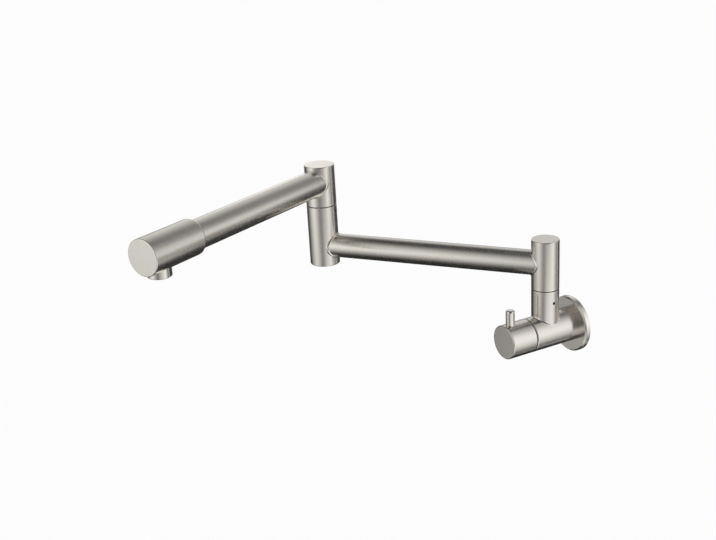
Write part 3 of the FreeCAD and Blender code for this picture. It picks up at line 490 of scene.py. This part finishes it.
barrel_brass = turned_metal("barrel_brass", brass, brass_roughness, (0, 0, 0), wall_axis,
                            grain=brass_grain)
ceramic = mottled("white_ceramic", ceramic_white, ceramic_roughness, ceramic_speck,
                  contrast=0.03, depth=0.000002, spread=0.04)
finish_node(barrel_brass, "cartridge_bonnet", "valve_spindle")
finish_node(ceramic, "fixed_disc", "moving_disc")
finish_node(rubber, "cartridge_seat_seal", "spindle_o_ring_inner", "spindle_o_ring_outer")
finish_node(mottled("clip_steel", stainless, stainless_roughness, clip_speck, contrast=0.08,
                    depth=0.000003), "spindle_clip")


# ---------------------------------------------------------------- knob
# The turned knob over the end of the valve, brushed like the barrel. A black-oxide grub
# screw under it holds it on the spindle's splines.

oxide_black = (0.07, 0.07, 0.072, 1)
oxide_roughness = 0.42
oxide_speck = 0.0005

finish_node(turned_metal("knob_nickel", nickel, nickel_roughness, (0, 0, 0), wall_axis),
            "knob_shell")
screw_steel = mottled("screw_steel", oxide_black, oxide_roughness, oxide_speck, contrast=0.2,
                      depth=0.000004)
screw_steel.node_tree.nodes["Principled BSDF"].inputs["Metallic"].default_value = 1
finish_node(screw_steel, "knob_grub_screw")


# ---------------------------------------------------------------- lever pin
# A short turned pin screwed into the top of the knob, polished rather than brushed.

pin_foot = (0, -0.0787, 0)
pin_roughness = 0.07
pin_grain = 0.0005

finish_node(turned_metal("pin_polish", nickel, pin_roughness, pin_foot, upright,
                         grain=pin_grain, depth=0.0000004, spread=0.015, tint=0.01),
            "lever_pin")


# ---------------------------------------------------------------- riser joint
# The swivel on the riser: a brass spigot with two rubber rings, a black acetal slide ring
# that shows as the dark line of the joint, and a grub screw in the riser.

rear_axis = (0, -0.035, 0.0726)
slide_black = (0.02, 0.02, 0.02, 1)
slide_roughness = 0.4
slide_speck = 0.0006

acetal_black = mottled("black_acetal", slide_black, slide_roughness, slide_speck,
                       contrast=0.15, depth=0.000006)
finish_node(acetal_black, "rear_slide_ring")
finish_node(turned_metal("rear_brass", brass, brass_roughness, rear_axis, upright,
                         grain=brass_grain), "rear_spigot")
finish_node(rubber, "rear_o_ring_lower", "rear_o_ring_upper")
finish_node(screw_steel, "riser_set_screw")


# ---------------------------------------------------------------- rear hub
# The turned hub that swings on the riser, and the cap pressed into its top: brushed brass,
# nickel plated.

rear_nickel = turned_metal("rear_nickel", nickel, nickel_roughness, rear_axis, upright)
finish_node(rear_nickel, "rear_hub", "rear_cap")


# ---------------------------------------------------------------- first arm
# A thin round tube, coped to fit both hubs and silver brazed to them. The braze stands as a
# small even bead that shines more than the tube. The tube is brushed round with a coarser
# belt than the hubs.

arm_1_heading = math.radians(217.4)
arm_1_radius = 0.0127
arm_1_height = 0.0726
arm_1_roughness = 0.28
rear_hub_radius = 0.014
mid_hub_radius = 0.016
mid_axis = (-0.19288, -0.18247, 0.1428)
fine_braze = 0.0007
full_braze = 0.0011
braze_embed = 0.00012                      # how far the bead reaches into tube and hub
braze_rounding = 0.85                      # of the bead's width
braze_corner = 0.9                         # of the width too: only the outer edge lies beyond
braze_reach = 4                            # of the width too: the blank's end past the hub
braze_cutter = 4                           # cutters: times the tube's radius or the blank
braze_facets = 5
braze_round = 96
braze_edge = 60                            # in degrees: sharper edges stay sharp
braze_roughness = 0.16
braze_speck = 0.0011

arm_1_nickel = turned_metal("arm_1_nickel", nickel, arm_1_roughness, rear_axis,
                            (0, 0, arm_1_heading))
finish_node(arm_1_nickel, "arm_1_tube")


def bare_cylinder(radius, length, centre, turn=(0, 0, 0)):
    """A plain cylinder to cut with, its place already in its mesh."""
    bpy.ops.object.select_all(action="DESELECT")
    bpy.ops.mesh.primitive_cylinder_add(vertices=braze_round, radius=radius, depth=length,
                                        location=centre, rotation=turn)
    made = bpy.context.object
    settle(made)
    return made


def cut(piece, operation, other):
    """Applies one boolean to the piece, and throws the cutter away."""
    bpy.ops.object.select_all(action="DESELECT")
    piece.select_set(True)
    bpy.context.view_layer.objects.active = piece
    boolean = piece.modifiers.new("cut", "BOOLEAN")
    boolean.operation = operation
    boolean.solver = "EXACT"
    boolean.object = other
    bpy.ops.object.modifier_apply(modifier=boolean.name)
    bpy.data.objects.remove(other)


def braze_bead(name, body, hub_place, hub_radius, arm_radius, arm_height, heading, width):
    """A rounded ring of filler metal in the corner between a coped tube and its hub."""
    away = Vector((math.cos(heading), math.sin(heading), 0))
    hub = Vector((hub_place[0], hub_place[1], arm_height))
    reach = hub_radius + braze_reach * width
    lying = (0, math.radians(90), heading)
    ring = bare_cylinder(arm_radius + width, reach, hub + away * reach / 2, lying)
    tall = braze_cutter * arm_radius
    cut(ring, "INTERSECT", bare_cylinder(hub_radius + width, tall, hub))
    cut(ring, "DIFFERENCE", bare_cylinder(hub_radius - braze_embed, tall, hub))
    cut(ring, "DIFFERENCE",
        bare_cylinder(arm_radius - braze_embed, braze_cutter * reach, hub, lying))

    def on_corner(place):
        """True along the ring's outer edge, which is clear of both the hub and the tube."""
        from_hub = Vector((place.x - hub.x, place.y - hub.y)).length
        offset = place - hub
        from_arm = (offset - away * offset.dot(away)).length
        outside = braze_corner * width
        return from_hub > hub_radius + outside and from_arm > arm_radius + outside

    select_where(ring, on_corner)
    bpy.ops.mesh.bevel(offset=braze_rounding * width, segments=braze_facets, profile=0.5,
                       affect="EDGES")
    bpy.ops.object.mode_set(mode="OBJECT")
    tidy_normals(ring, braze_edge)
    ring.name = name
    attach(ring, body)
    return ring


braze_nickel = mottled("braze_nickel", nickel, braze_roughness, braze_speck, contrast=0.03,
                       depth=0.00002, spread=0.04)
braze_nickel.node_tree.nodes["Principled BSDF"].inputs["Metallic"].default_value = 1
arm_1_back = arm_1_heading + math.pi
for ring in (
        braze_bead("rear_braze", "arm_1", rear_axis, rear_hub_radius, arm_1_radius,
                   arm_1_height, arm_1_heading, fine_braze),
        braze_bead("mid_lower_braze", "arm_1", mid_axis, mid_hub_radius, arm_1_radius,
                   arm_1_height, arm_1_back, full_braze)):
    ring.data.materials.append(braze_nickel)


# ---------------------------------------------------------------- middle hub, lower half
# The upright hub at the end of the first arm, with a cap in its foot, a grub screw in its
# side and the slide ring of the second joint on top.

middle_nickel = turned_metal("middle_nickel", nickel, nickel_roughness, mid_axis, upright)
finish_node(middle_nickel, "mid_lower_hub", "mid_bottom_cap")
finish_node(screw_steel, "mid_set_screw")
finish_node(acetal_black, "mid_slide_ring")


# ---------------------------------------------------------------- middle hub, upper half
# The half that turns with the second arm: hub, top cap, and the brass spigot with two rubber
# rings that reaches down into the lower half.

finish_node(middle_nickel, "mid_upper_hub", "mid_top_cap")
finish_node(turned_metal("middle_brass", brass, brass_roughness, mid_axis, upright,
                         grain=brass_grain), "mid_spigot")
finish_node(rubber, "mid_o_ring_lower", "mid_o_ring_upper")


# ---------------------------------------------------------------- second arm and head
# A thicker tube brazed to the upper hub, and the turned sleeve over its end, closed by a
# flat cap. All are brushed round their common axis.

arm_2_heading = math.radians(296.5)
arm_2_radius = 0.0143
arm_2_height = 0.1428
arm_2_roughness = 0.26

arm_2_nickel = turned_metal("arm_2_nickel", nickel, arm_2_roughness, mid_axis,
                            (0, 0, arm_2_heading))
finish_node(arm_2_nickel, "arm_2_tube", "head_sleeve", "head_end_cap")
mid_upper_braze = braze_bead("mid_upper_braze", "arm_2", mid_axis, mid_hub_radius,
                             arm_2_radius, arm_2_height, arm_2_heading, fine_braze)
mid_upper_braze.data.materials.append(braze_nickel)


# ---------------------------------------------------------------- outlet
# A bright turned collar under the head, with the aerator screwed into it: a white acetal
# housing, a woven stainless screen and a rubber seal.

outlet_from_hub = 0.2485
outlet_height = 0.125
outlet_axis = (mid_axis[0] + outlet_from_hub * math.cos(arm_2_heading),
               mid_axis[1] + outlet_from_hub * math.sin(arm_2_heading), outlet_height)
collar_roughness = 0.12
acetal_white = (0.80, 0.80, 0.78, 1)
acetal_roughness = 0.35
acetal_speck = 0.0008
screen_roughness = 0.28

finish_node(turned_metal("outlet_nickel", nickel, collar_roughness, outlet_axis, upright,
                         spread=0.02), "outlet_collar")
finish_node(mottled("white_acetal", acetal_white, acetal_roughness, acetal_speck,
                    contrast=0.03, depth=0.000006), "aerator_housing")
finish_node(turned_metal("screen_steel", stainless, screen_roughness, outlet_axis, upright),
            "aerator_screen")
finish_node(rubber, "aerator_seal")
